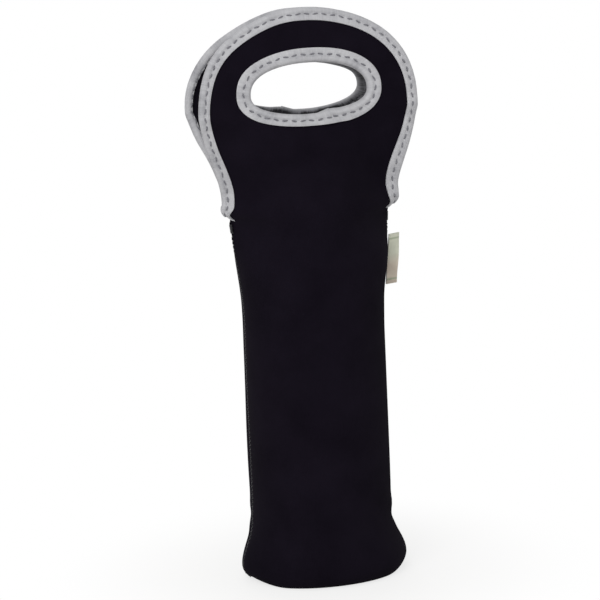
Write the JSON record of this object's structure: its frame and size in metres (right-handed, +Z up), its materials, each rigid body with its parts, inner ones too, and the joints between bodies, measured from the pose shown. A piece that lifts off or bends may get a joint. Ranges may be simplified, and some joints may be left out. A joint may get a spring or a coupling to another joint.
{
  "type": "bottle carrier",
  "caption": "Soft padded carrier for one bottle: round body seamed from two sheets, with two bound handle leaves that have oval hand openings.",
  "frame": {"origin": "middle of the base, on the surface that the carrier stands on", "axes": "+Z up along the bottle, -Y out of the front sheet, +X towards the side seam with the label"},
  "size_m": [0.1362, 0.0878, 0.3488],
  "materials": {
    "knit_face": "matte black nylon knit",
    "foam_core": "closed-cell foam rubber",
    "knit_lining": "matte black nylon knit",
    "binding_tape": "light grey knit binding tape",
    "tape_thread": "grey zigzag thread",
    "seam_thread": "black seam thread",
    "label_cloth": "off-white woven ribbon"
  },
  "bodies": {
    "body": {"front_body_face": "knit_face", "front_body_foam": "foam_core", "front_body_lining": "knit_lining", "rear_body_face": "knit_face", "rear_body_foam": "foam_core", "rear_body_lining": "knit_lining", "left_seam_stitching": "seam_thread", "right_seam_stitching": "seam_thread", "base_seam_stitching": "seam_thread", "left_bar_tack": "seam_thread", "right_bar_tack": "seam_thread"},
    "front_leaf": {"front_leaf_face": "knit_face", "front_leaf_foam": "foam_core", "front_leaf_lining": "knit_lining", "front_edge_binding": "binding_tape", "front_edge_stitching": "tape_thread", "front_hand_binding": "binding_tape", "front_hand_stitching": "tape_thread"},
    "rear_leaf": {"rear_leaf_face": "knit_face", "rear_leaf_foam": "foam_core", "rear_leaf_lining": "knit_lining", "rear_edge_binding": "binding_tape", "rear_edge_stitching": "tape_thread", "rear_hand_binding": "binding_tape", "rear_hand_stitching": "tape_thread"},
    "label": {"side_label": "label_cloth"}
  },
  "joints": [
    {"name": "front_leaf_fold", "type": "hinge", "parent": "body", "child": "front_leaf", "pos_m": [0, -0.0351, 0.223], "axis": [1, 0, 0], "range_deg": [0, 20], "stiffness_Nm_per_rad": 0.05},
    {"name": "rear_leaf_fold", "type": "hinge", "parent": "body", "child": "rear_leaf", "pos_m": [0, 0.0351, 0.223], "axis": [-1, 0, 0], "range_deg": [0, 20], "stiffness_Nm_per_rad": 0.05},
    {"name": "label_swing", "type": "hinge", "parent": "body", "child": "label", "pos_m": [0.04707, 0, 0.17692], "axis": [0.098, 0, 0.9952], "range_deg": [-60, 60], "stiffness_Nm_per_rad": 0.0004}
  ]
}
